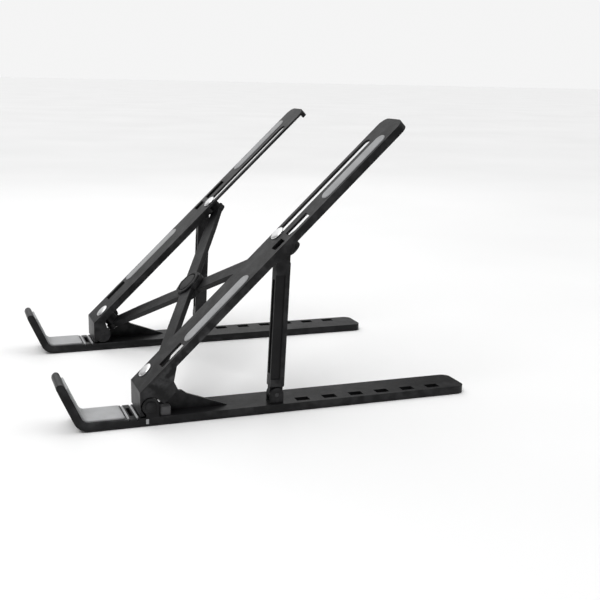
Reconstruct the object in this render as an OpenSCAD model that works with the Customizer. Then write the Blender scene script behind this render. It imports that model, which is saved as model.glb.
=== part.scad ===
// Folding X-frame laptop stand.
// Two identical sides, each a base rail with a hooked front lip, a top rail hinged to it
// and a prop strut, are tied together by a scissor of two crossed arms.
// Origin: centre of the footprint on the table. +Y points away from the user, +X to the
// user's right, +Z up. The model is drawn open, at its steepest setting.

/* [Base rails] */
// Overall length of a base rail, hook included
base_length = 240; // [230:1:260]
// Width of a base rail
base_width = 24; // [22:0.5:24]
// Thickness of a base rail
base_thickness = 4.6; // [4:0.1:5]
// Distance from the mid plane to the middle of each base rail
base_centre_x = 77; // [77:0.5:90]
// Angle of the front hook above the table
hook_angle = 66; // [50:1:75]
// Straight length of the hook above its bend
hook_length = 20; // [12:1:26]
// Outer radius of the hook's bend
hook_radius = 9; // [7:0.5:12]
// Spacing of the seven prop slots
slot_pitch = 16.6; // [15:0.1:16.8]

/* [Top rails] */
// Angle of the top rails above the table
rail_angle = 44; // [40:0.5:46]
// Length of a top rail beyond its hinge
rail_length = 207; // [200:1:215]
// Width of a top rail
rail_width = 25; // [24.5:0.5:26]
// Thickness of the top rail's plate
plate_thickness = 1.4; // [1.3:0.1:2.2]
// Depth of the top rail's side walls, plate included
wall_depth = 4.5; // [4:0.1:4.6]
// Height of the top rail's face above the hinge axis
face_offset = 10; // [9.8:0.1:10.5]

/* [Scissor] */
// Width of a scissor arm
arm_width = 10; // [8:0.5:10.5]
// Thickness of a scissor arm
arm_thickness = 3.2; // [2.8:0.1:3.2]
// Diameter of the rivet heads
rivet_head_d = 8.8; // [7:0.1:9]

/* [Silicone pads] */
// Length of each pad on the top rails
rail_pad_length = 49; // [40:1:52]
// Width of each pad on the top rails
rail_pad_width = 8.4; // [6:0.2:8.6]
// Height of the pads above the surface they sit in
pad_proud = 0.6; // [0.4:0.1:1]

/* [Hidden] */
$fn = 48;
eps = 0.5;

// Base rail
foot_proud = 0.4;
base_z = foot_proud;
base_top = base_z + base_thickness;
base_rear = base_length / 2;
hook_mid_r = hook_radius - base_thickness / 2;
bend_y = -base_length / 2 + base_thickness / 2 + hook_length * cos(hook_angle)
    + hook_mid_r * sin(hook_angle);
tip_y = bend_y - hook_mid_r * sin(hook_angle) - hook_length * cos(hook_angle);
tip_z = hook_radius - hook_mid_r * cos(hook_angle) + hook_length * sin(hook_angle);
corner_r = 5;
gusset_x = 78.8;
gusset_t = 2.2;
gusset_top = 16.2;
gusset_tail_y = -27;
groove_y = [-83, -78.2];
groove_w = 1.2;
groove_d = 1;
through_y = -80.6;
through_size = [13, 2];

// Soft parts of the base
table_foot_spans = [[-100, -86], [-45, -15], [106, 117]];
table_foot_w = 16;
foot_recess = 1.2;
hook_pad_rear = -84.6;
hook_pad_w = 20.4;
hook_pad_t = 1;
strip_proud = 0.2;
mark = [0.8, 1.6, 2.8];
hook_pad_rise = hook_length - 1.5;
bumper_at = [82, 5.4];
bumper = [5.4, 6, 5];

// Hinge between base rail and top rail
hinge_y = -71.3;
hinge_z = 11;
hinge_pin_r = 1.8;
hinge_head_r = 2.8;
hinge_head_x = 89;
hinge_head_t = 1.4;
pin_play = 0.05;
base_ear_r = 4.6;
base_ear_t = 3;
base_ear_front = 2.4;
base_ear_x = [69, 87.4];
rail_ear_x = 83;
hinge_clear_x = 85.6;
rail_ear_r = 5.2;
washer_t = 0.9;
washer_r = 3;

// Top rail, in its own frame: x across, y along from the hinge axis, z out of its face
face = face_offset;
plate_under = face - plate_thickness;
wall_low = face - wall_depth;
wall_t = 1.8;
rail_inner = base_centre_x + base_width / 2 + 0.5 - rail_width;
rail_outer = rail_inner + rail_width;
rail_front = 1.6;
rivet_x = rail_inner + 6.5;
front_rivet_u = 11;
rear_rivet_u = 115.5;
shank_r = 3;
slot_gap = 0.3;
folded_gap = 1.2;

// Scissor arms
arm_dx = 2 * rivet_x;
arm_du = rear_rivet_u - front_rivet_u;
arm_length = sqrt(arm_dx * arm_dx + arm_du * arm_du);
arm_tilt = atan2(arm_du, arm_dx);
folded_dx = 2 * (rivet_x - rail_inner) + folded_gap;
folded_rear_u = front_rivet_u + sqrt(arm_length * arm_length - folded_dx * folded_dx);
upper_top = 3.6;
arm_gap = 0.3;
lower_top = upper_top - arm_thickness - arm_gap;
arm_end_r = 5.5;
boss_r = 4.3;
boss_top = plate_under - arm_gap;
head_r = rivet_head_d / 2;
head_h = 1.3;
flange_r = 4;
flange_h = 1;
hub_r = 9.5;
hub_pin_r = 2.5;
cap_h = 1.5;

// Pads and slots share the middle line of the strut
strut_x = rail_outer - 6.2;
front_pad_u = 37.5;
rear_pad_u = 145.5;
pad_recess = 0.6;
slot_w = 5.5;
window_w = 6.6;
window_front = [19, 35.2];
window_short = [106.4, 113.8];
window_long = [117.6, 133.6];
open_edge = [112, rail_length + 1];
skirt_low = -4.3;

// Prop strut
strut_w = 7;
strut_d = 8;
foot_y = 0.5;
foot_z = 9.8;
foot_r = 4;
cheek_t = 1.6;
cheek_gap = 0.2;
strut_head_u = 108;
strut_head_n = 4.2;
strut_head_r = 3.6;
small_pin_r = 1.25;
head_y = hinge_y + strut_head_u * cos(rail_angle) - strut_head_n * sin(rail_angle);
head_z = hinge_z + strut_head_u * sin(rail_angle) + strut_head_n * cos(rail_angle);
strut_length = sqrt(pow(head_y - foot_y, 2) + pow(head_z - foot_z, 2));
strut_lean = atan2(head_y - foot_y, head_z - foot_z);
slot_l = 8;
tip_r = 6;
ear_notch = 0.8;
lug = [104.5, 115.5];
lug_low = 3.6;
lug_inner_x = 77.5;
stop_u = [101.4, 103];
stop_low = 5.7;
strut_shoulder = 4.8;

plastic = [0.07, 0.07, 0.075];
silicone = [0.52, 0.53, 0.54];
steel = [0.82, 0.82, 0.83];

// ---------- helpers ----------

function arc(cx, cy, r, a0, a1, n = 8) =
    [for (i = [0:n]) [cx + r * cos(a0 + (a1 - a0) * i / n), cy + r * sin(a0 + (a1 - a0) * i / n)]];

// Rectangle from corner p to corner q with round corners of radius r
module round_rect(p, q, r) {
    polygon(concat(
        arc(q[0] - r, q[1] - r, r, 0, 90),
        arc(p[0] + r, q[1] - r, r, 90, 180),
        arc(p[0] + r, p[1] + r, r, 180, 270),
        arc(q[0] - r, p[1] + r, r, 270, 360)));
}

// Extrudes a (y, z) outline across x, from x0 over the given width
module across(x0, width) {
    translate([x0, 0, 0]) rotate([90, 0, 90]) linear_extrude(width) children();
}

// Cylinder along x
module x_cylinder(r, x0, width, y, z) {
    translate([x0, y, z]) rotate([0, 90, 0]) cylinder(r = r, h = width);
}

// Upright slot with round ends along y
module stadium(x, y0, y1, w, z0, h) {
    translate([x, y0 + w / 2, z0]) cylinder(r = w / 2, h = h);
    translate([x, y1 - w / 2, z0]) cylinder(r = w / 2, h = h);
    translate([x - w / 2, y0 + w / 2, z0]) cube([w, y1 - y0 - w, h]);
}

// Places children drawn in the top rail's own frame
module on_rail() {
    translate([0, hinge_y, hinge_z]) rotate([rail_angle, 0, 0]) children();
}

// ---------- one side, drawn on the right ----------

// Side profile of the base: flat bar, bend and hook with a round tip
function base_profile() = concat(
    [[base_rear, 0], [bend_y, 0]],
    [for (i = [1:10]) [bend_y - hook_radius * sin(hook_angle * i / 10),
                       hook_radius - hook_radius * cos(hook_angle * i / 10)]],
    arc(tip_y, tip_z, base_thickness / 2, 270 - hook_angle, 90 - hook_angle, 8),
    [for (i = [10:-1:0]) [bend_y - (hook_radius - base_thickness) * sin(hook_angle * i / 10),
                          hook_radius - (hook_radius - base_thickness) * cos(hook_angle * i / 10)]],
    [[base_rear, base_thickness]]);

module base_rail() {
    inner = base_centre_x - base_width / 2;
    color(plastic) difference() {
        union() {
            intersection() {
                translate([0, 0, base_z]) across(inner, base_width) polygon(base_profile());
                translate([0, 0, -eps]) linear_extrude(hook_length + hook_radius + 10)
                    round_rect([inner, -base_length / 2 - 1],
                               [inner + base_width, base_rear], corner_r);
            }
            base_ears();
            gusset();
        }
        for (i = [0:6]) prop_slot(i);
        drain_grooves(inner);
        translate([0, 0, -eps]) table_foot_solids(foot_recess + eps);
        edge_mark();
        x_cylinder(hinge_pin_r + pin_play, inner, base_width, hinge_y, hinge_z);
    }
}

// Small light insert in the base's outer side, level with the hinge
module edge_mark() {
    translate([base_centre_x + base_width / 2 - mark[0], hinge_y - 2.6, base_z + 1])
        cube(mark);
}

module base_ears() {
    for (x = base_ear_x) {
        x_cylinder(base_ear_r, x - base_ear_t / 2, base_ear_t, hinge_y, hinge_z);
        translate([x - base_ear_t / 2, hinge_y - base_ear_front, base_top - eps])
            cube([base_ear_t, base_ear_front + base_ear_r, hinge_z - base_top + eps]);
    }
}

// Tapering rib behind the hinge that stiffens the base
module gusset() {
    across(gusset_x, gusset_t) polygon([
        [hinge_y + 5.6, base_top - eps], [hinge_y + 5.6, base_top + 4],
        [hinge_y + 15.5, gusset_top], [hinge_y + 19, gusset_top - 0.4],
        [hinge_y + 22, gusset_top - 2.6], [gusset_tail_y, base_top + 0.3],
        [gusset_tail_y, base_top - eps]]);
}

module prop_slot(i) {
    translate([strut_x - slot_w / 2, foot_y + i * slot_pitch - slot_l / 2, base_z - eps])
        cube([slot_w, slot_l, base_thickness + 2 * eps]);
}

// Two shallow grooves and one through slot between the hook pad and the hinge
module drain_grooves(inner) {
    for (y = groove_y)
        translate([inner - eps, y - groove_w / 2, base_top - groove_d])
            cube([base_width + 2 * eps, groove_w, groove_d + eps]);
    translate([base_centre_x - through_size[0] / 2, through_y - through_size[1] / 2, base_z - eps])
        cube([through_size[0], through_size[1], base_thickness + 2 * eps]);
}

// Silicone feet let into the underside
module table_foot_solids(h) {
    for (span = table_foot_spans)
        linear_extrude(h) round_rect([base_centre_x - table_foot_w / 2, span[0]],
                                     [base_centre_x + table_foot_w / 2, span[1]], 2);
}

module table_feet() {
    color(silicone) table_foot_solids(foot_recess);
}

// Pad on the flat front of the base and up the inner face of the hook, with two strips
// inlaid in the grooves behind it and the mark in the base's side
module hook_pad() {
    r0 = hook_radius - base_thickness;
    r1 = r0 - hook_pad_t;
    up = [-cos(hook_angle), sin(hook_angle)];
    inner_end = [bend_y - r0 * sin(hook_angle), hook_radius - r0 * cos(hook_angle)];
    outer_end = [bend_y - r1 * sin(hook_angle), hook_radius - r1 * cos(hook_angle)];
    profile = concat(
        [[hook_pad_rear, base_thickness]],
        [for (i = [0:8]) [bend_y - r0 * sin(hook_angle * i / 8),
                          hook_radius - r0 * cos(hook_angle * i / 8)]],
        [inner_end + hook_pad_rise * up, outer_end + hook_pad_rise * up],
        [for (i = [8:-1:0]) [bend_y - r1 * sin(hook_angle * i / 8),
                             hook_radius - r1 * cos(hook_angle * i / 8)]],
        [[hook_pad_rear, base_thickness + hook_pad_t]]);
    color(silicone) {
        translate([0, 0, base_z])
            across(base_centre_x - hook_pad_w / 2, hook_pad_w) polygon(profile);
        edge_mark();
        for (y = groove_y)
            translate([base_centre_x - hook_pad_w / 2, y - groove_w / 2, base_top - groove_d])
                cube([hook_pad_w, groove_w, groove_d + strip_proud]);
    }
}

// Silicone block that the folded top rail closes onto
module bumper_block() {
    color(silicone) translate([bumper_at[0], hinge_y + bumper_at[1], base_top]) cube(bumper);
}

module top_rail() {
    color(plastic) on_rail() difference() {
        union() {
            rail_shell();
            front_skirt();
            rail_ears();
            strut_lugs();
        }
        translate([rivet_x, front_rivet_u, plate_under - eps])
            cylinder(r = shank_r, h = plate_thickness + 2 * eps);
        stadium(rivet_x, rear_rivet_u - shank_r - slot_gap, folded_rear_u + shank_r + slot_gap,
                2 * (shank_r + slot_gap), plate_under - eps, plate_thickness + 2 * eps);
        for (w = [window_front, window_short, window_long])
            translate([strut_x - window_w / 2, w[0], plate_under - eps])
                cube([window_w, w[1] - w[0], plate_thickness + 2 * eps]);
        for (u = [front_pad_u, rear_pad_u]) pad_solid(u, face - pad_recess, pad_recess + eps);
        x_cylinder(hinge_pin_r, rail_inner - eps, rail_width + 2 * eps, 0, 0);
        x_cylinder(base_ear_r + ear_notch, hinge_clear_x, base_width, 0, 0);
    }
}

// Plate with a wall down each long edge and round the tip; the inner wall stops beside the
// slider slot, where the edge is left open to the tip
module rail_shell() {
    difference() {
        translate([0, 0, wall_low]) linear_extrude(wall_depth) rail_outline(0, rail_front);
        translate([0, 0, wall_low - eps]) linear_extrude(wall_depth - plate_thickness + eps)
            rail_outline(wall_t, rail_front - eps);
        translate([rail_inner - eps, open_edge[0], wall_low - eps])
            cube([wall_t + 2 * eps, open_edge[1] - open_edge[0], wall_depth - plate_thickness + eps]);
    }
}

module rail_outline(inset, front) {
    r = tip_r - inset;
    polygon(concat(
        [[rail_inner + inset, front], [rail_outer - inset, front]],
        arc(rail_outer - inset - r, rail_length - inset - r, r, 0, 90),
        arc(rail_inner + inset + r, rail_length - inset - r, r, 90, 180)));
}

// Upright front face that closes the rail ahead of the hinge, notched for the base's ears
module front_skirt() {
    difference() {
        across(rail_inner, rail_width) polygon([
            [rail_front, face], [rail_front + 2, plate_under],
            [-5.9, -0.9], [-7.5, 0.5]]);
        x_cylinder(base_ear_r + ear_notch, base_ear_x[0] - base_ear_t / 2 - 0.3,
                   base_ear_t + 0.6, 0, 0);
    }
}

// Ears round the hinge pin, cut away for the end of the scissor arm, and the deeper front end
// of the outer wall
module rail_ears() {
    for (x = [rail_inner, rail_ear_x]) {
        x_cylinder(rail_ear_r, x, wall_t, 0, 0);
        across(x, wall_t) polygon([
            [-4.9, 1.6], [rail_front, face - eps], [16, face - eps], [16, wall_low],
            [8.6, wall_low], [6.8, 4], [5.1, 0.8]]);
    }
    across(rail_outer - wall_t, wall_t) polygon([
        [-4.9, 1.6], [rail_front, face - eps], [25, face - eps], [25, wall_low],
        [18, 0.5], [16.4, skirt_low], [6.1, skirt_low], [5.2, 0]]);
}

// Deeper walls and a stop rib that house the head of the strut
module strut_lugs() {
    for (x = [lug_inner_x, rail_outer - wall_t])
        across(x, wall_t) polygon([
            [lug[0] - 3, plate_under], [lug[0] - 3, wall_low], [lug[0], lug_low],
            [lug[1] - 1.5, lug_low], [lug[1] + 1, wall_low], [lug[1] + 1, plate_under]]);
    across(lug_inner_x, rail_outer - lug_inner_x - wall_t) polygon([
        [stop_u[0], plate_under], [stop_u[0], stop_low],
        [stop_u[1], stop_low], [stop_u[1], plate_under]]);
}

module pad_solid(u, z0, h) {
    stadium(strut_x, u, u + rail_pad_length, rail_pad_width, z0, h);
}

module rail_pad(u) {
    color(silicone) on_rail() pad_solid(u, face - pad_recess, pad_recess + pad_proud);
}

// Strut: drawn upright on its foot pivot, then leaned back to its head
module strut() {
    tongue_w = strut_w - 2 * (cheek_t + cheek_gap);
    color(plastic) translate([strut_x, foot_y, foot_z]) rotate([-strut_lean, 0, 0]) difference() {
        union() {
            x_cylinder(foot_r - 0.1, -tongue_w / 2, tongue_w, 0, 0);
            translate([-tongue_w / 2, -foot_r + 0.1, 0]) cube([tongue_w, 2 * foot_r - 0.2, 6]);
            translate([-strut_w / 2, -strut_d / 2, strut_shoulder])
                cube([strut_w, strut_d, strut_length - strut_shoulder - 4]);
            translate([-strut_w / 2, -strut_head_r, strut_length - 5])
                cube([strut_w, 2 * strut_head_r, 5]);
            x_cylinder(strut_head_r, -strut_w / 2, strut_w, 0, strut_length);
        }
        // long relief on the outer face, which leaves a flange along the rear edge
        translate([strut_w / 2 - 0.8, -strut_d / 2 - eps, 9])
            cube([0.8 + eps, strut_d * 0.66 + eps, strut_length - 20]);
        // channel in the front face
        translate([-strut_w / 2 + 1.6, -strut_d / 2 - eps, 12])
            cube([strut_w - 4, 2.2 + eps, strut_length - 26]);
        x_cylinder(small_pin_r + pin_play, -strut_w, 2 * strut_w, 0, 0);
        x_cylinder(small_pin_r, -strut_w, 2 * strut_w, 0, strut_length);
    }
}

// Foot block: a tongue in the base's slot and two cheeks round the strut
module strut_foot() {
    color(plastic) translate([strut_x, foot_y, 0]) difference() {
        union() {
            translate([-slot_w / 2 + 0.2, -slot_l / 2 + 0.2, base_z + 0.3])
                cube([slot_w - 0.4, slot_l - 0.4, base_thickness]);
            translate([-strut_w / 2, -foot_r, base_top]) cube([strut_w, 2 * foot_r, 0.6]);
            for (x = [-strut_w / 2, strut_w / 2 - cheek_t]) {
                x_cylinder(foot_r, x, cheek_t, 0, foot_z);
                translate([x, -foot_r, base_top]) cube([cheek_t, 2 * foot_r, foot_z - base_top]);
            }
        }
        x_cylinder(small_pin_r, -strut_w, 2 * strut_w, 0, foot_z);
    }
}

module foot_pin() {
    color(steel) x_cylinder(small_pin_r, strut_x - strut_w / 2, strut_w, foot_y, foot_z);
}

module head_pin() {
    color(steel) x_cylinder(small_pin_r, strut_x - strut_w / 2 - 0.2, strut_w + 0.4, head_y, head_z);
}

module hinge_pin() {
    color(plastic) {
        x_cylinder(hinge_pin_r, rail_inner, hinge_head_x - rail_inner, hinge_y, hinge_z);
        x_cylinder(hinge_head_r, hinge_head_x, hinge_head_t, hinge_y, hinge_z);
    }
}

// Friction washers between the ears of base and top rail
module hinge_washers() {
    color(steel) for (x = [rail_inner + wall_t + 0.15, rail_ear_x + wall_t + 0.1])
        difference() {
            x_cylinder(washer_r, x, washer_t, hinge_y, hinge_z);
            x_cylinder(hinge_pin_r + pin_play, x - eps, washer_t + 2 * eps, hinge_y, hinge_z);
        }
}

// Rivet: domed head on the rail's face, shank through the plate and an arm, flange below
module rivet(arm_top, lift) {
    low = arm_top - arm_thickness;
    color(steel) {
        translate([0, 0, face + lift]) cylinder(r = head_r, h = head_h * 0.6);
        translate([0, 0, face + lift + head_h * 0.6])
            cylinder(r1 = head_r, r2 = head_r - 0.9, h = head_h * 0.4);
        translate([0, 0, low - 0.1]) cylinder(r = shank_r, h = face + lift - low + 0.1);
        translate([0, 0, low - 0.1 - flange_h]) cylinder(r = flange_r, h = flange_h);
    }
}

// ---------- scissor ----------

// Arm drawn along +x from its front pivot, its top face at z = 0
module arm_bar(boss_h) {
    taper = arm_width / 2 - 1;
    difference() {
        union() {
            translate([0, 0, -arm_thickness]) linear_extrude(arm_thickness) polygon([
                [0, -taper], [arm_length * 0.16, -arm_width / 2], [arm_length * 0.84, -arm_width / 2],
                [arm_length, -taper], [arm_length, taper], [arm_length * 0.84, arm_width / 2],
                [arm_length * 0.16, arm_width / 2], [0, taper]]);
            for (x = [0, arm_length]) {
                translate([x, 0, -arm_thickness]) cylinder(r = arm_end_r, h = arm_thickness);
                translate([x, 0, -eps]) cylinder(r = boss_r, h = boss_h + eps);
            }
            translate([arm_length / 2, 0, -arm_thickness]) cylinder(r = hub_r, h = arm_thickness);
        }
        translate([0, 0, -arm_thickness - eps])
            cylinder(r = shank_r + pin_play, h = arm_thickness + boss_h + 2 * eps);
        translate([arm_length, 0, -arm_thickness - eps])
            cylinder(r = shank_r, h = arm_thickness + boss_h + 2 * eps);
        translate([arm_length / 2, 0, -arm_thickness - eps])
            cylinder(r = hub_pin_r + pin_play, h = arm_thickness + 2 * eps);
    }
}

module upper_arm() {
    color(plastic) on_rail() translate([rivet_x, front_rivet_u, upper_top])
        rotate([0, 0, 180 - arm_tilt]) arm_bar(boss_top - upper_top);
}

module lower_arm() {
    color(plastic) on_rail() translate([-rivet_x, front_rivet_u, lower_top])
        rotate([0, 0, arm_tilt]) arm_bar(boss_top - lower_top);
}

module hub_pin() {
    low = lower_top - arm_thickness;
    color(steel) on_rail() translate([0, (front_rivet_u + rear_rivet_u) / 2, 0]) {
        translate([0, 0, low - 0.1]) cylinder(r = hub_pin_r, h = upper_top - low + 0.1);
        translate([0, 0, low - 0.1 - flange_h]) cylinder(r = flange_r, h = flange_h);
    }
}

// Octagonal cover over the crossing with a round raised button
module hub_cap() {
    color(plastic) on_rail() translate([0, (front_rivet_u + rear_rivet_u) / 2, upper_top]) {
        rotate([0, 0, 22.5 + arm_tilt]) cylinder(r = hub_r, h = cap_h * 0.6, $fn = 8);
        cylinder(r = 6.2, h = cap_h);
    }
}

module right() { children(); }
module left() { mirror([1, 0, 0]) children(); }

right() base_rail();  // right_base_rail
right() top_rail();  // right_top_rail
right() strut();  // right_strut
right() strut_foot();  // right_strut_foot
right() foot_pin();  // right_foot_pin
right() head_pin();  // right_head_pin
right() hinge_pin();  // right_hinge_pin
right() hinge_washers();  // right_hinge_washers
on_rail() translate([rivet_x, front_rivet_u, 0]) rivet(upper_top, 0);  // right_front_rivet
on_rail() translate([rivet_x, rear_rivet_u, 0]) rivet(lower_top, 0.1);  // right_slide_rivet
right() hook_pad();  // right_hook_pad
right() rail_pad(front_pad_u);  // right_front_pad
right() rail_pad(rear_pad_u);  // right_rear_pad
right() bumper_block();  // right_bumper
right() table_feet();  // right_table_feet
left() base_rail();  // left_base_rail
left() top_rail();  // left_top_rail
left() strut();  // left_strut
left() strut_foot();  // left_strut_foot
left() foot_pin();  // left_foot_pin
left() head_pin();  // left_head_pin
left() hinge_pin();  // left_hinge_pin
left() hinge_washers();  // left_hinge_washers
on_rail() translate([-rivet_x, front_rivet_u, 0]) rivet(lower_top, 0);  // left_front_rivet
on_rail() translate([-rivet_x, rear_rivet_u, 0]) rivet(upper_top, 0.1);  // left_slide_rivet
left() hook_pad();  // left_hook_pad
left() rail_pad(front_pad_u);  // left_front_pad
left() rail_pad(rear_pad_u);  // left_rear_pad
left() bumper_block();  // left_bumper
left() table_feet();  // left_table_feet
upper_arm();
lower_arm();
hub_pin();
hub_cap();
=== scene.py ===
"""Looks of the folding X-frame laptop stand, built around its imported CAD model."""

import math

import bmesh
import bpy
from mathutils import Matrix, Vector


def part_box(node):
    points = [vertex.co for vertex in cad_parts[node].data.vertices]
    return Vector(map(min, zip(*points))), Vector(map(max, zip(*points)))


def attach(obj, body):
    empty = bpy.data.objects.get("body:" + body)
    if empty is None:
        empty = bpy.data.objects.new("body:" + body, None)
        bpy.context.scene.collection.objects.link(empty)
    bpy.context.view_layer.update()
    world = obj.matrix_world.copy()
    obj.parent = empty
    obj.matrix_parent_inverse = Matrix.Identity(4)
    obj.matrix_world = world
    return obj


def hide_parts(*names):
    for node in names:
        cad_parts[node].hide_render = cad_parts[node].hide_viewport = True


MM = 0.001
SIDES = (("right", 1), ("left", -1))

# the part's own layout, in mm and radians, as its source states it
BASE_LENGTH, BASE_WIDTH, BASE_THICKNESS = 240.0, 24.0, 4.6
BASE_CENTRE_X = 77.0
FOOT_PROUD = 0.4
BASE_TOP = FOOT_PROUD + BASE_THICKNESS
HOOK_LENGTH, HOOK_RADIUS, HOOK_ANGLE = 20.0, 9.0, math.radians(66)
HOOK_PAD_REAR, HOOK_PAD_WIDTH, HOOK_PAD_THICKNESS = -84.6, 20.4, 1.0
HOOK_PAD_RISE = HOOK_LENGTH - 1.5
GROOVE_Y, GROOVE_WIDTH, GROOVE_DEPTH, STRIP_PROUD = (-83.0, -78.2), 1.2, 1.0, 0.2
FOOT_SPANS, FOOT_WIDTH, FOOT_THICKNESS = ((-100, -86), (-45, -15), (106, 117)), 16, 1.2
HINGE_Y, HINGE_Z, RAIL_ANGLE = -71.3, 11.0, math.radians(44)
MARK_Y, MARK_Z, MARK_DEPTH, MARK_LENGTH, MARK_HEIGHT = HINGE_Y - 1.8, 2.8, 0.8, 1.6, 2.8
RAIL_FACE = 10.0
PAD_X, PAD_LENGTH, PAD_WIDTH, PAD_RECESS, PAD_PROUD = 83.3, 49.0, 8.4, 0.6, 0.6
PAD_START = {"front": 37.5, "rear": 145.5}
RIVET_X, FRONT_RIVET_U, REAR_RIVET_U = 71.0, 11.0, 115.5
SHANK_RADIUS = 3.0
SLIDE_GAP = 0.1
ARM_THICKNESS, UPPER_ARM_TOP, LOWER_ARM_TOP = 3.2, 3.6, 0.1
ARM_TILT = math.atan2(REAR_RIVET_U - FRONT_RIVET_U, 2 * RIVET_X)
HUB_U = (FRONT_RIVET_U + REAR_RIVET_U) / 2

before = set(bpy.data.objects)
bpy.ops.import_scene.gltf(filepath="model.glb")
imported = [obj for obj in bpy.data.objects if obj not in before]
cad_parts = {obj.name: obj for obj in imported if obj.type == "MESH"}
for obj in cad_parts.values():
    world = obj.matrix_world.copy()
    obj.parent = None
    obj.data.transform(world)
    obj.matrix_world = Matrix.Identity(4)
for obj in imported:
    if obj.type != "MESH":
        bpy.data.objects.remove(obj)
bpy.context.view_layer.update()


# ---------- small node helpers ----------


class Nodes:
    """Short calls for making and linking the nodes of one material."""

    def __init__(self, name):
        self.material = bpy.data.materials.new(name)
        self.material.use_nodes = True
        self.tree = self.material.node_tree
        self.tree.nodes.clear()

    def add(self, kind, **values):
        node = self.tree.nodes.new(kind)
        for key, value in values.items():
            if key in node.inputs:
                node.inputs[key].default_value = value
            else:
                setattr(node, key, value)
        return node

    def link(self, a, b):
        self.tree.links.new(a, b)

    def place(self):
        """Place on the object, in metres."""
        return self.add("ShaderNodeTexCoord").outputs["Object"]

    def noise(self, where, scale, detail=3.0, rough=0.5):
        node = self.add("ShaderNodeTexNoise", Scale=scale, Detail=detail, Roughness=rough)
        self.link(where, node.inputs["Vector"])
        return node.outputs["Fac"]

    def ramp(self, fac, low, dark, high, light):
        """Dark colour up to low, light colour from high on."""
        node = self.add("ShaderNodeValToRGB")
        for element, place, colour in zip(node.color_ramp.elements, (low, high), (dark, light)):
            element.position = place
            element.color = (*colour, 1.0)
        self.link(fac, node.inputs["Fac"])
        return node.outputs["Color"]

    def span(self, fac, low, high, to_low, to_high):
        """Maps low..high to to_low..to_high, held at both ends."""
        node = self.add("ShaderNodeMapRange")
        for index, value in enumerate((low, high, to_low, to_high), 1):
            node.inputs[index].default_value = value
        self.link(fac, node.inputs[0])
        return node.outputs[0]

    def math(self, operation, a, b):
        node = self.add("ShaderNodeMath", operation=operation)
        for index, value in enumerate((a, b)):
            if isinstance(value, (int, float)):
                node.inputs[index].default_value = value
            else:
                self.link(value, node.inputs[index])
        return node.outputs[0]

    def mix(self, fac, below, above):
        """Lays the plain colour above over the colour socket below."""
        node = self.add("ShaderNodeMix", data_type="RGBA")
        first, second = node.inputs[6], node.inputs[7]
        self.link(fac, node.inputs["Factor"])
        self.link(below, first)
        second.default_value = (*above, 1.0)
        return node.outputs[2]

    def bump(self, height, strength, distance, before=None):
        node = self.add("ShaderNodeBump", Strength=strength, Distance=distance)
        self.link(height, node.inputs["Height"])
        if before is not None:
            self.link(before, node.inputs["Normal"])
        return node.outputs["Normal"]

    def finish(self, **values):
        """Ends in a Principled shader whose sockets get these values or links."""
        out = self.add("ShaderNodeOutputMaterial")
        shader = self.add("ShaderNodeBsdfPrincipled")
        for key, value in values.items():
            socket = shader.inputs[key.replace("_", " ")]
            if isinstance(value, bpy.types.NodeSocket):
                self.link(value, socket)
            else:
                socket.default_value = value
        self.link(shader.outputs[0], out.inputs["Surface"])
        return self.material


# ---------- materials ----------


def edge_wear(nodes):
    """Light rubbing on convex edges, broken up by noise."""
    point = nodes.add("ShaderNodeNewGeometry").outputs["Pointiness"]
    edge = nodes.span(point, 0.52, 0.6, 0.0, 1.0)
    patches = nodes.span(nodes.noise(nodes.place(), 160, 4), 0.42, 0.62, 0.0, 1.0)
    return nodes.math("MULTIPLY", edge, patches)


def moulded_plastic(name, dark, light, rough_low, rough_high):
    """Satin black ABS: fine spark-eroded grain, soft flow marks and faint handling wear."""
    n = Nodes(name)
    here = n.place()
    grain_fine = n.noise(here, 2600, 2, 0.6)
    grain_soft = n.noise(here, 900, 3, 0.55)
    flow = n.noise(here, 34, 4, 0.55)
    smudge = n.noise(here, 85, 5, 0.6)
    body = n.ramp(flow, 0.32, dark, 0.7, light)
    worn = tuple(c * 3.2 + 0.012 for c in light)
    sheen = n.math("ADD", n.math("MULTIPLY", smudge, 0.65), n.math("MULTIPLY", grain_soft, 0.35))
    relief = n.bump(grain_soft, 0.286, 0.00014)
    relief = n.bump(grain_fine, 0.22, 0.00006, relief)
    return n.finish(Base_Color=n.mix(edge_wear(n), body, worn),
                    Roughness=n.span(sheen, 0.3, 0.7, rough_low, rough_high),
                    Normal=relief, Specular_IOR_Level=0.15)


def silicone(name, dark, light, rough=0.62):
    """Matt silicone: powdery surface, faint mottling, dust caught in the grain."""
    n = Nodes(name)
    here = n.place()
    mottle = n.noise(here, 120, 5, 0.6)
    powder = n.noise(here, 3200, 2, 0.6)
    dust = n.span(n.noise(here, 700, 4, 0.65), 0.6, 0.78, 0.0, 0.55)
    body = n.ramp(mottle, 0.3, dark, 0.72, light)
    dusty = tuple(min(1, c * 1.22 + 0.02) for c in light)
    relief = n.bump(n.noise(here, 420, 3), 0.16, 0.00015)
    relief = n.bump(powder, 0.3, 0.00007, relief)
    return n.finish(Base_Color=n.mix(dust, body, dusty),
                    Roughness=n.span(mottle, 0.3, 0.7, rough, rough + 0.14),
                    Normal=relief, Sheen_Weight=0.12, Sheen_Roughness=0.45)


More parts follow.
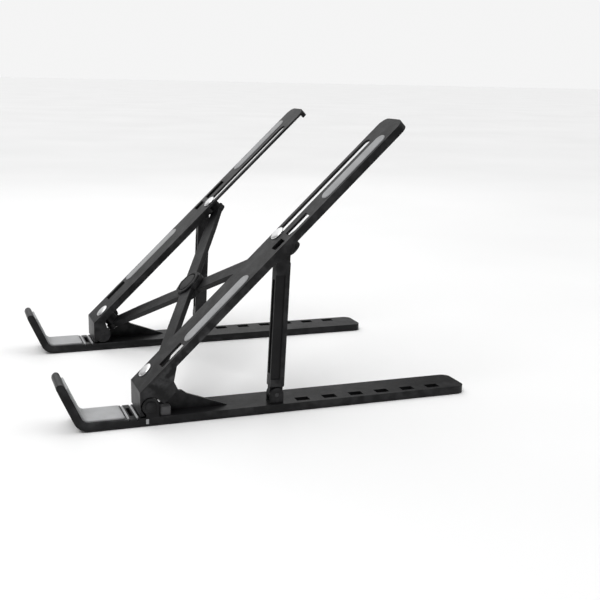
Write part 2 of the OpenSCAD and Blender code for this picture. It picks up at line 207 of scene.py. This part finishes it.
def turned_steel(name, tone, rough_low, rough_high, marks):
    """Plated or blackened steel with turning marks, fine scratches and slight tarnish."""
    n = Nodes(name)
    here = n.place()
    tarnish = n.noise(here, 260, 5, 0.6)
    stretched = n.add("ShaderNodeMapping", Scale=(6000, 500, 500))
    n.link(here, stretched.inputs["Vector"])
    lines = n.noise(stretched.outputs[0], 1.0, 2, 0.5)
    uneven = n.math("MULTIPLY", n.math("ADD", lines, tarnish), 0.5)
    return n.finish(Base_Color=n.ramp(tarnish, 0.3, tuple(c * 0.86 for c in tone), 0.75, tone),
                    Roughness=n.span(uneven, 0.35, 0.65, rough_low, rough_high),
                    Normal=n.bump(lines, marks, 0.00003), Metallic=1.0)


def studio_floor():
    n = Nodes("studio_floor")
    here = n.place()
    colour = n.ramp(n.noise(here, 3, 2), 0.3, (0.86, 0.86, 0.86), 0.7, (0.9, 0.9, 0.9))
    return n.finish(Base_Color=colour, Roughness=0.65,
                    Normal=n.bump(n.noise(here, 500, 2), 0.03, 0.0001))


def grey(dark, light, blue):
    """Two nearly neutral tones, a little bluer than grey."""
    return (dark, dark, dark + blue), (light, light, light + blue)


MAT = {
    "base": moulded_plastic("plastic_base", *grey(0.0055, 0.0105, 0.0005), 0.3, 0.44),
    "rail": moulded_plastic("plastic_rail", *grey(0.006, 0.0115, 0.0005), 0.34, 0.48),
    "arm": moulded_plastic("plastic_arm", *grey(0.005, 0.01, 0.0005), 0.36, 0.5),
    "strut": moulded_plastic("plastic_strut", *grey(0.0055, 0.0105, 0.0005), 0.34, 0.5),
    "hinge_pin": moulded_plastic("plastic_pin", *grey(0.005, 0.009, 0.0005), 0.28, 0.42),
    "pad": silicone("silicone_pad", (0.235, 0.238, 0.243), (0.31, 0.314, 0.32)),
    "hook_pad": silicone("silicone_hook_pad", (0.3, 0.304, 0.31), (0.39, 0.394, 0.4), 0.5),
    "bumper": silicone("silicone_block", (0.06, 0.06, 0.062), (0.085, 0.085, 0.088)),
    "foot": silicone("silicone_foot", (0.03, 0.03, 0.031), (0.05, 0.05, 0.052)),
    "rivet": turned_steel("nickel_rivet", (0.9, 0.9, 0.905), 0.32, 0.46, 0.1),
    "pin": turned_steel("black_oxide_pin", (0.06, 0.06, 0.062), 0.3, 0.46, 0.2),
}


# ---------- meshes ----------


def at(x, y, z):
    return Matrix.Translation(Vector((x, y, z)) * MM)


def on_rail(x, u, n):
    """From a point of the top rail's own frame (across, along, out of its face) to the row frame."""
    return at(0, HINGE_Y, HINGE_Z) @ Matrix.Rotation(RAIL_ANGLE, 4, "X") @ at(x, u, n)


def new_object(name, mesh, material, smooth_angle=35):
    """Object with smooth shading, broken where faces meet at more than smooth_angle."""
    obj = bpy.data.objects.new(name, mesh)
    bpy.context.scene.collection.objects.link(obj)
    mesh.materials.append(material)
    for polygon in mesh.polygons:
        polygon.use_smooth = True
    bm = bmesh.new()
    bm.from_mesh(mesh)
    for edge in bm.edges:
        if len(edge.link_faces) == 2:
            edge.smooth = edge.calc_face_angle() < math.radians(smooth_angle)
    bm.to_mesh(mesh)
    bm.free()
    return obj


def loft(name, rings, material, place=Matrix.Identity(4), smooth_angle=35):
    """Closed skin over a list of rings with the same number of points, in mm."""
    bm = bmesh.new()
    made = [[bm.verts.new(Vector(p) * MM) for p in ring] for ring in rings]
    count = len(rings[0])
    for a, b in zip(made, made[1:]):
        for i in range(count):
            j = (i + 1) % count
            bm.faces.new((a[i], a[j], b[j], b[i]))
    bm.faces.new(list(reversed(made[0])))
    bm.faces.new(made[-1])
    bmesh.ops.recalc_face_normals(bm, faces=bm.faces)
    mesh = bpy.data.meshes.new(name)
    bm.to_mesh(mesh)
    bm.free()
    mesh.transform(place)
    return new_object(name, mesh, material, smooth_angle)


def join(name, parts, material):
    """One object from the meshes of several, which it takes the place of."""
    bm = bmesh.new()
    for obj in parts:
        bm.from_mesh(obj.data)
        bpy.data.objects.remove(obj)
    mesh = bpy.data.meshes.new(name)
    bm.to_mesh(mesh)
    bm.free()
    return new_object(name, mesh, material)


def stadium(length, width, inset, steps=14):
    """Outline with round ends along y, centred on 0, pulled in by inset."""
    r = width / 2 - inset
    half = length / 2 - width / 2
    points = []
    for end, start in ((1, 0), (-1, 180)):
        for i in range(steps + 1):
            a = math.radians(start + 180 * i / steps)
            points.append((r * math.cos(a), end * half + r * math.sin(a)))
    return points


def rounded_rectangle(x, y, inset, radius, steps=6):
    """Outline x by y with round corners, centred on 0, pulled in by inset."""
    r = max(radius - inset, 0.15)
    hx, hy = x / 2 - inset - r, y / 2 - inset - r
    points = []
    for k, (sx, sy) in enumerate(((1, 1), (-1, 1), (-1, -1), (1, -1))):
        for i in range(steps + 1):
            a = math.radians(90 * k + 90 * i / steps)
            points.append((sx * hx + r * math.cos(a), sy * hy + r * math.sin(a)))
    return points


def circle(radius, height, count):
    angles = [2 * math.pi * i / count for i in range(count)]
    return [(radius * math.cos(a), radius * math.sin(a), height) for a in angles]


def pad_rings(outline, low, high, edge, crown=0.0):
    """Rings of a pad from its underside up a rounded edge to a flat or slightly crowned top."""
    steps = 5
    rings = [(0.0, low)]
    for i in range(steps + 1):
        a = math.radians(90 * i / steps)
        rings.append((edge * (1 - math.cos(a)), high - crown - edge * (1 - math.sin(a))))
    if crown:
        rings += [(edge + part * 1.6, high - crown * (1 - part)) for part in (0.35, 0.7, 1.0)]
    return [[(x, y, z) for x, y in outline(inset)] for inset, z in rings]


def lathe(name, profile, material, place):
    """Solid of revolution about z through (radius, height) points, its ends closed flat."""
    rings = [circle(radius, height, 48) for radius, height in profile]
    return loft(name, rings, material, place, smooth_angle=40)


def fit(piece, body, node):
    """Puts a piece on its body, in the place of its plain CAD node."""
    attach(piece, body)
    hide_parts(node)


# ---------- the CAD pieces, with their edges broken ----------


def soften(node, material, width):
    """Bevels the sharp edges of a CAD node through modifiers and gives it its finish."""
    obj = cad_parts[node]
    obj.data.materials.clear()
    obj.data.materials.append(material)
    weld = obj.modifiers.new("weld", "WELD")
    weld.merge_threshold = 1e-6
    flat = obj.modifiers.new("flat", "DECIMATE")
    flat.decimate_type = "DISSOLVE"
    flat.angle_limit = math.radians(0.8)
    bevel = obj.modifiers.new("bevel", "BEVEL")
    bevel.width = width * MM
    bevel.segments = 2
    bevel.limit_method = "ANGLE"
    bevel.angle_limit = math.radians(32)
    bevel.harden_normals = True
    bevel.miter_outer = "MITER_ARC"


# finish and edge radius of each CAD piece of a side
SIDE_FINISH = {
    "base_rail": ("base", 0.35), "top_rail": ("rail", 0.3), "strut": ("strut", 0.3),
    "strut_foot": ("strut", 0.2), "foot_pin": ("pin", 0.15), "head_pin": ("pin", 0.15),
    "hinge_pin": ("hinge_pin", 0.25), "hinge_washers": ("pin", 0.1),
}

for side, _ in SIDES:
    for node, (finish, radius) in SIDE_FINISH.items():
        soften(f"{side}_{node}", MAT[finish], radius)
for node in ("upper_arm", "lower_arm"):
    soften(node, MAT["arm"], 0.4)


# ---------- silicone parts ----------


def top_rail_pad(side, sign, which):
    rings = pad_rings(lambda inset: stadium(PAD_LENGTH, PAD_WIDTH, inset),
                      -PAD_RECESS, PAD_PROUD, 0.5, 0.12)
    place = on_rail(sign * PAD_X, PAD_START[which] + PAD_LENGTH / 2, RAIL_FACE)
    pad = loft(f"{side}_{which}_pad_soft", rings, MAT["pad"], place)
    fit(pad, f"{side}_rail", f"{side}_{which}_pad")


def hook_path():
    """Points (y, z) along the base's upper face from behind the hook to its tip, each with the
    direction out of that face."""
    inner_r = HOOK_RADIUS - BASE_THICKNESS
    bend_y = (-BASE_LENGTH / 2 + BASE_THICKNESS / 2 + HOOK_LENGTH * math.cos(HOOK_ANGLE)
              + (HOOK_RADIUS - BASE_THICKNESS / 2) * math.sin(HOOK_ANGLE))
    flat, bend, straight = 8, 12, 6
    path = [((HOOK_PAD_REAR + (bend_y - HOOK_PAD_REAR) * i / flat, BASE_TOP), (0.0, 1.0))
            for i in range(flat + 1)]
    for i in range(1, bend + 1):
        out = (math.sin(HOOK_ANGLE * i / bend), math.cos(HOOK_ANGLE * i / bend))
        point = (bend_y - inner_r * out[0], FOOT_PROUD + HOOK_RADIUS - inner_r * out[1])
        path.append((point, out))
    y, z = path[-1][0]
    for i in range(1, straight + 1):
        d = HOOK_PAD_RISE * i / straight
        path.append(((y - math.cos(HOOK_ANGLE) * d, z + math.sin(HOOK_ANGLE) * d), out))
    return path


def hook_pad_sweep(sign):
    """Rings of the pad over the flat of the base, round the bend and up the hook."""
    edge, path = 0.42, hook_path()

    def section(pull, height):
        """Half the outline across the pad and its mirror image, with rounded upper edges."""
        half = HOOK_PAD_WIDTH / 2 - pull
        points = [(-half, 0.0)]
        for k in range(5):
            a = math.radians(90 * k / 4)
            points.append((edge * (1 - math.cos(a)) - half,
                           max(height - edge * (1 - math.sin(a)), 0.02)))
        points += [((edge - half) * (1 - k / 5), height) for k in range(1, 6)]
        return points + [(-x, z) for x, z in reversed(points[:-1])]

    def ring(point, out, pull, height):
        return [(sign * (BASE_CENTRE_X + x), point[0] + out[0] * h, point[1] + out[1] * h)
                for x, h in section(pull, height)]

    def rounded_end(end, inner):
        """Rings that round the pad off over its last half millimetre."""
        (y, z), out = path[end]
        to_y, to_z = path[inner][0]
        step = math.hypot(to_y - y, to_z - z)
        rings = []
        for offset, share in ((0.0, 0.3), (0.12, 0.62), (0.3, 0.88), (0.55, 1.0)):
            point = (y + (to_y - y) / step * offset, z + (to_z - z) / step * offset)
            rings.append(ring(point, out, 1.2 * edge * (1 - share), HOOK_PAD_THICKNESS * share))
        return rings

    middle = [ring(point, out, 0.0, HOOK_PAD_THICKNESS) for point, out in path[1:-1]]
    return rounded_end(0, 1) + middle + rounded_end(-1, -2)[::-1]


def hook_pad(side, sign):
    """Swept pad, two strips in the grooves behind it and the mark in the base's outer side."""
    name, material = f"{side}_hook_pad_part", MAT["hook_pad"]
    parts = [loft(name, hook_pad_sweep(sign), material)]
    strip = pad_rings(lambda inset: rounded_rectangle(HOOK_PAD_WIDTH, GROOVE_WIDTH, inset, 0.25),
                      -GROOVE_DEPTH, STRIP_PROUD, 0.22)
    for y in GROOVE_Y:
        parts.append(loft(name, strip, material, at(sign * BASE_CENTRE_X, y, BASE_TOP)))
    mark = pad_rings(lambda inset: rounded_rectangle(MARK_LENGTH, MARK_HEIGHT, inset, 0.3),
                     -MARK_DEPTH, 0.0, 0.15)
    outward = (Matrix.Rotation(sign * math.pi / 2, 4, "Y") @ Matrix.Rotation(math.pi / 2, 4, "Z"))
    outer_side = at(sign * (BASE_CENTRE_X + BASE_WIDTH / 2), MARK_Y, MARK_Z)
    parts.append(loft(name, mark, material, outer_side @ outward))
    pad = join(f"{side}_hook_pad_soft", parts, material)
    fit(pad, f"{side}_base", f"{side}_hook_pad")


def bumper(side):
    low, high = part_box(f"{side}_bumper")
    size = (Vector(high) - Vector(low)) / MM
    base = Vector(((low[0] + high[0]) / 2, (low[1] + high[1]) / 2, low[2]))
    rings = pad_rings(lambda inset: rounded_rectangle(size.x, size.y, inset, 1.1),
                      0.0, size.z, 0.9, 0.15)
    block = loft(f"{side}_bumper_soft", rings, MAT["bumper"], Matrix.Translation(base))
    fit(block, f"{side}_base", f"{side}_bumper")


def table_feet(side, sign):
    """Three thin feet under each base, joined into one piece."""
    made = []
    for y0, y1 in FOOT_SPANS:
        rings = pad_rings(lambda inset: rounded_rectangle(FOOT_WIDTH, y1 - y0, inset, 2),
                          0.0, FOOT_THICKNESS, 0.3, 0.04)
        place = at(sign * BASE_CENTRE_X, (y0 + y1) / 2, FOOT_THICKNESS)
        made.append(loft(f"{side}_foot_part", rings, MAT["foot"],
                         place @ Matrix.Rotation(math.pi, 4, "X")))
    feet = join(f"{side}_table_feet_soft", made, MAT["foot"])
    fit(feet, f"{side}_base", f"{side}_table_feet")


for side, sign in SIDES:
    for which in PAD_START:
        top_rail_pad(side, sign, which)
    hook_pad(side, sign)
    bumper(side)
    table_feet(side, sign)


# ---------- rivets and hub ----------


def flange(low):
    """Profile of the peened flange below an arm whose underside is at low."""
    return [(2.6, low - 1.08), (3.5, low - 0.9), (3.92, low - 0.6), (4.0, low - 0.3),
            (3.9, low - 0.12)]


def rivet(node, body, sign, u, arm_top, gap):
    """Domed head with a rolled rim, shank, and a flange peened over below the arm."""
    low = arm_top - ARM_THICKNESS
    top = RAIL_FACE + gap
    profile = [(1.2, low - 1.1), *flange(low), (SHANK_RADIUS, low - 0.1), (SHANK_RADIUS, top)]
    profile += [(4.0, top), (4.3, top + 0.08), (4.4, top + 0.28), (4.38, top + 0.5),
                (4.2, top + 0.74), (3.8, top + 0.95), (3.2, top + 1.12), (2.4, top + 1.23),
                (1.5, top + 1.28), (0.6, top + 1.3)]
    piece = lathe(f"{node}_turned", profile, MAT["rivet"], on_rail(sign * RIVET_X, u, 0))
    fit(piece, body, node)


rivet("right_front_rivet", "right_rail", 1, FRONT_RIVET_U, UPPER_ARM_TOP, 0.0)
rivet("left_front_rivet", "left_rail", -1, FRONT_RIVET_U, LOWER_ARM_TOP, 0.0)
rivet("right_slide_rivet", "lower_arm", 1, REAR_RIVET_U, LOWER_ARM_TOP, SLIDE_GAP)
rivet("left_slide_rivet", "upper_arm", -1, REAR_RIVET_U, UPPER_ARM_TOP, SLIDE_GAP)


def hub_pin():
    low = LOWER_ARM_TOP - ARM_THICKNESS
    profile = [(1.0, low - 1.1), *flange(low), (2.5, low - 0.1), (2.5, UPPER_ARM_TOP - 0.1),
               (2.3, UPPER_ARM_TOP)]
    piece = lathe("hub_pin_turned", profile, MAT["rivet"], on_rail(0, HUB_U, 0))
    fit(piece, "upper_arm", "hub_pin")


def hub_cap():
    """Octagonal plate with chamfered edges and a domed button set in a round groove."""
    count, facets = 96, 8
    turn = math.radians(22.5) + ARM_TILT

    def octagon(radius, height):
        ring = []
        for i in range(count):
            a = 2 * math.pi * i / count
            spread = (a - turn) % (2 * math.pi / facets) - math.pi / facets
            reach = radius * math.cos(math.pi / facets) / math.cos(spread)
            ring.append((reach * math.cos(a), reach * math.sin(a), height))
        return ring

    plate = ((9.1, 0.0), (9.45, 0.12), (9.5, 0.3), (9.45, 0.95), (9.2, 1.2), (8.8, 1.3))
    groove = ((7.3, 1.32), (7.0, 1.25), (6.9, 0.45), (6.3, 0.45), (6.2, 1.1))
    button = ((6.0, 1.3), (5.6, 1.4), (4.2, 1.46), (2.4, 1.49), (0.5, 1.5))
    rings = [octagon(radius, height) for radius, height in plate]
    rings += [circle(radius, height, count) for radius, height in groove + button]
    place = on_rail(0, HUB_U, UPPER_ARM_TOP)
    piece = loft("hub_cap_moulded", rings, MAT["arm"], place, smooth_angle=28)
    fit(piece, "upper_arm", "hub_cap")


hub_pin()
hub_cap()


# ---------- studio ----------


def floor():
    mesh = bpy.data.meshes.new("floor")
    bm = bmesh.new()
    bmesh.ops.create_grid(bm, x_segments=8, y_segments=8, size=30.0)
    bm.to_mesh(mesh)
    bm.free()
    obj = bpy.data.objects.new("floor", mesh)
    bpy.context.scene.collection.objects.link(obj)
    obj.data.materials.append(studio_floor())


def backdrop():
    """World that looks as pale as the floor, and lights the object more softly than it looks."""
    world = bpy.data.worlds.new("studio")
    bpy.context.scene.world = world
    world.use_nodes = True
    tree = world.node_tree
    rays = tree.nodes.new("ShaderNodeLightPath")
    strength = tree.nodes.new("ShaderNodeMapRange")
    strength.inputs["To Min"].default_value = 0.15
    strength.inputs["To Max"].default_value = 0.91
    tree.links.new(rays.outputs["Is Camera Ray"], strength.inputs["Value"])
    background = tree.nodes["Background"]
    background.inputs["Color"].default_value = (1.0, 1.0, 1.0, 1.0)
    tree.links.new(strength.outputs["Result"], background.inputs["Strength"])


def hang(name, data, place):
    """Puts a light at place, turned to the middle of the object."""
    lamp = bpy.data.objects.new(name, data)
    lamp.location = place
    away = Vector((0, 0, 0.06)) - Vector(place)
    lamp.rotation_euler = away.to_track_quat("-Z", "Y").to_euler()
    lamp.visible_camera = False
    bpy.context.scene.collection.objects.link(lamp)


def lights():
    """Broad suns light the floor evenly. A long softbox on the far left shines along the upper
    faces of the rails and bases, and a weak one hangs overhead."""
    for name, place, angle, power in (("sun_key", (0.5, -0.6, 1.1), 40, 1.85),
                                      ("sun_fill", (-0.7, -0.2, 1.2), 60, 0.95),
                                      ("sun_rear", (0.1, 0.9, 1.1), 60, 0.8)):
        data = bpy.data.lights.new(name, "SUN")
        data.angle = math.radians(angle)
        data.energy = power
        hang(name, data, place)
    for name, place, size, power in (("softbox_left", (-1.3, -0.05, 0.5), (1.7, 0.55), 0.8),
                                     ("softbox_top", (0.0, -0.3, 1.2), (0.9, 0.9), 0.6)):
        data = bpy.data.lights.new(name, "AREA")
        data.shape = "RECTANGLE"
        data.size, data.size_y = size
        data.energy = power
        data.spread = math.radians(100)
        hang(name, data, place)


def camera():
    """Camera at the photograph's viewing angle, aimed a little left to take in both hooks."""
    yaw, pitch, roll, aim = (math.radians(a) for a in (23.34, 12.9, 1.84, 2.4))
    forward = Vector((-math.cos(yaw) * math.cos(pitch), math.sin(yaw) * math.cos(pitch),
                      -math.sin(pitch)))
    level = forward.cross(Vector((0, 0, 1))).normalized()
    up = level.cross(forward)
    right = math.cos(roll) * level + math.sin(roll) * up
    turn = Matrix((right, right.cross(forward), -forward)).transposed()
    data = bpy.data.cameras.new("camera")
    data.sensor_width = 36
    data.lens = 57.98
    data.clip_start = 0.01
    cam = bpy.data.objects.new("camera", data)
    cam.rotation_mode = "QUATERNION"
    cam.rotation_quaternion = (turn @ Matrix.Rotation(aim, 3, "Y")).to_quaternion()
    cam.location = (0.5725, -0.1722, 0.1834)
    bpy.context.scene.collection.objects.link(cam)
    bpy.context.scene.camera = cam


floor()
backdrop()
lights()
camera()
bpy.context.scene.view_settings.view_transform = "Standard"

bpy.context.view_layer.update()
